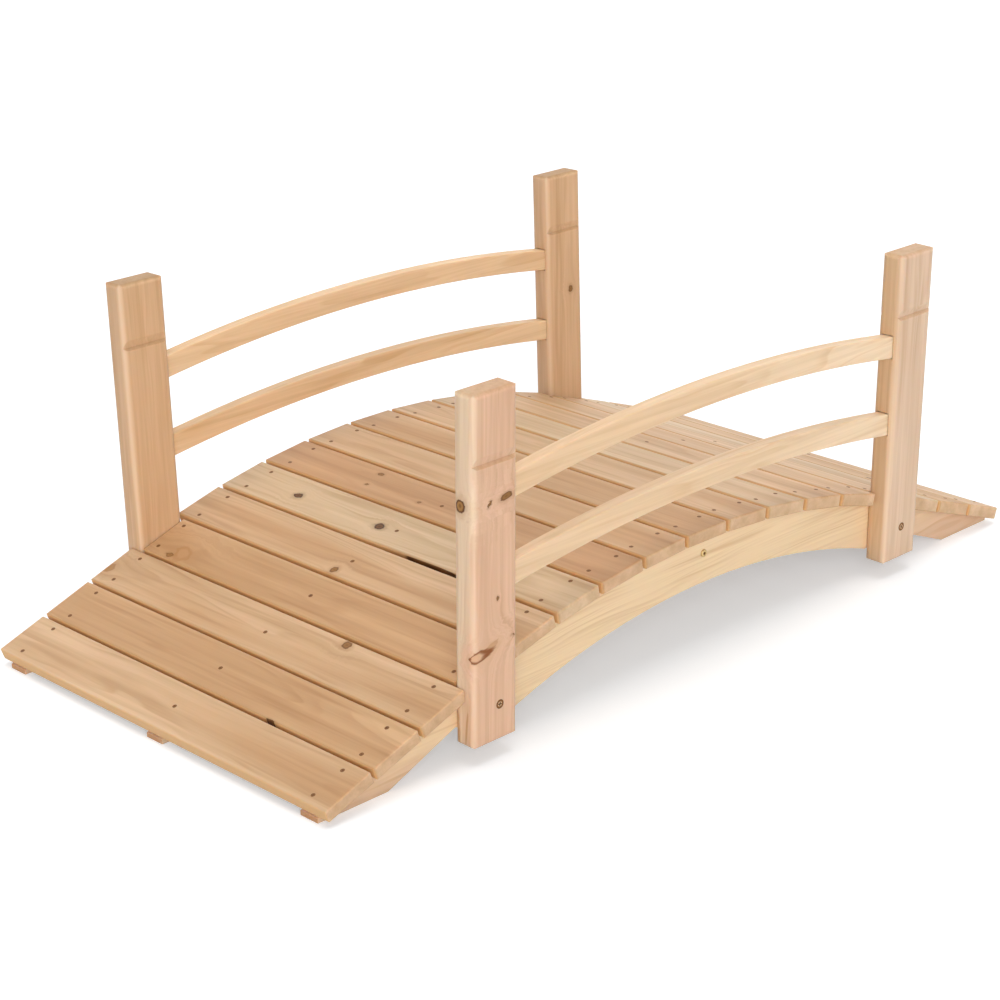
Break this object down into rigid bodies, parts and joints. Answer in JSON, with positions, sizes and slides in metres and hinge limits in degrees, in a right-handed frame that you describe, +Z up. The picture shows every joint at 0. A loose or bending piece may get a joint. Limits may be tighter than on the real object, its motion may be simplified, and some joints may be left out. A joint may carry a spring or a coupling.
{
  "type": "moon bridge",
  "caption": "Small arched wooden garden bridge: plank deck on curved stringers, grooved posts and curved side rails.",
  "frame": {"origin": "on the ground, under the middle of the deck", "axes": "+X along the walkway, +Y across it to the left, +Z up"},
  "size_m": [1.5016, 0.796, 0.5378],
  "materials": {
    "deck_wood": "planed, unfinished",
    "stringer_wood": "planed, unfinished",
    "post_wood": "planed, unfinished",
    "rail_wood": "planed, unfinished"
  },
  "bodies": {
    "root": {"deck_plank_01": "deck_wood", "deck_plank_02": "deck_wood", "deck_plank_03": "deck_wood", "deck_plank_04": "deck_wood", "deck_plank_05": "deck_wood", "deck_plank_06": "deck_wood", "deck_plank_07": "deck_wood", "deck_plank_08": "deck_wood", "deck_plank_09": "deck_wood", "deck_plank_10": "deck_wood", "deck_plank_11": "deck_wood", "deck_plank_12": "deck_wood", "deck_plank_13": "deck_wood", "deck_plank_14": "deck_wood", "deck_plank_15": "deck_wood", "deck_plank_16": "deck_wood", "deck_plank_17": "deck_wood", "left_stringer": "stringer_wood", "middle_stringer": "stringer_wood", "right_stringer": "stringer_wood", "left_near_post": "post_wood", "left_far_post": "post_wood", "right_near_post": "post_wood", "right_far_post": "post_wood", "left_upper_rail": "rail_wood", "left_lower_rail": "rail_wood", "right_upper_rail": "rail_wood", "right_lower_rail": "rail_wood"}
  },
  "joints": []
}
